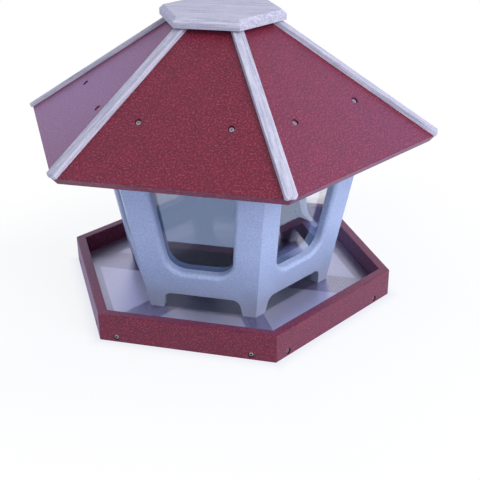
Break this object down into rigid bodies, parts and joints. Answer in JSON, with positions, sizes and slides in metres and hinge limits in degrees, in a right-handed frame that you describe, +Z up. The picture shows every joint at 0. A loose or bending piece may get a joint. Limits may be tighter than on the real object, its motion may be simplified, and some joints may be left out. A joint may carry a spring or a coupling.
{
  "type": "bird table",
  "caption": "Hexagonal gazebo bird table: mitred tray with a screen floor, leaning windowed hopper panels with seed gaps, hipped roof with battens and a lift-off cap.",
  "frame": {"origin": "on the vertical axis, at the underside of the tray", "axes": "+Z up along the axis of six-fold symmetry, +X towards a corner of the tray and roof, -Y square out of one flat side"},
  "size_m": [0.5528, 0.4832, 0.3822],
  "materials": {
    "burgundy_board": "speckled recycled-plastic board, satin",
    "grey_board": "pale blue-grey recycled-plastic board, satin",
    "trim_board": "near-white board with fine lengthwise streaks, satin",
    "screen_metal": "fine woven screen, bright",
    "clear_pane": "clear acrylic, polished",
    "screw_steel": "dulled stainless steel"
  },
  "bodies": {
    "feeder": {"tray_rail_1": "burgundy_board", "tray_rail_2": "burgundy_board", "tray_rail_3": "burgundy_board", "tray_rail_4": "burgundy_board", "tray_rail_5": "burgundy_board", "tray_rail_6": "burgundy_board", "floor_ledger_1": "burgundy_board", "floor_ledger_2": "burgundy_board", "floor_ledger_3": "burgundy_board", "floor_ledger_4": "burgundy_board", "floor_ledger_5": "burgundy_board", "floor_ledger_6": "burgundy_board", "hopper_panel_1": "grey_board", "hopper_panel_2": "grey_board", "hopper_panel_3": "grey_board", "hopper_panel_4": "grey_board", "hopper_panel_5": "grey_board", "hopper_panel_6": "grey_board", "window_pane_1": "clear_pane", "window_pane_2": "clear_pane", "window_pane_3": "clear_pane", "window_pane_4": "clear_pane", "window_pane_5": "clear_pane", "window_pane_6": "clear_pane", "roof_panel_1": "burgundy_board", "roof_panel_2": "burgundy_board", "roof_panel_3": "burgundy_board", "roof_panel_4": "burgundy_board", "roof_panel_5": "burgundy_board", "roof_panel_6": "burgundy_board", "floor_spoke_1": "burgundy_board", "floor_spoke_2": "burgundy_board", "floor_spoke_3": "burgundy_board", "floor_spoke_4": "burgundy_board", "floor_spoke_5": "burgundy_board", "floor_spoke_6": "burgundy_board", "hip_batten_1": "trim_board", "hip_batten_2": "trim_board", "hip_batten_3": "trim_board", "hip_batten_4": "trim_board", "hip_batten_5": "trim_board", "hip_batten_6": "trim_board", "floor_hub": "burgundy_board", "floor_screen": "screen_metal", "rail_screws": "screw_steel", "roof_screws": "screw_steel", "foot_screws": "screw_steel", "pane_screws": "screw_steel"},
    "cap": {"cap_board": "trim_board", "cap_plug": "trim_board", "cap_screws": "screw_steel"}
  },
  "joints": [
    {"name": "cap_lift", "type": "slide", "parent": "feeder", "child": "cap", "axis": [0, 0, 1], "range_m": [0, 0.15]}
  ]
}
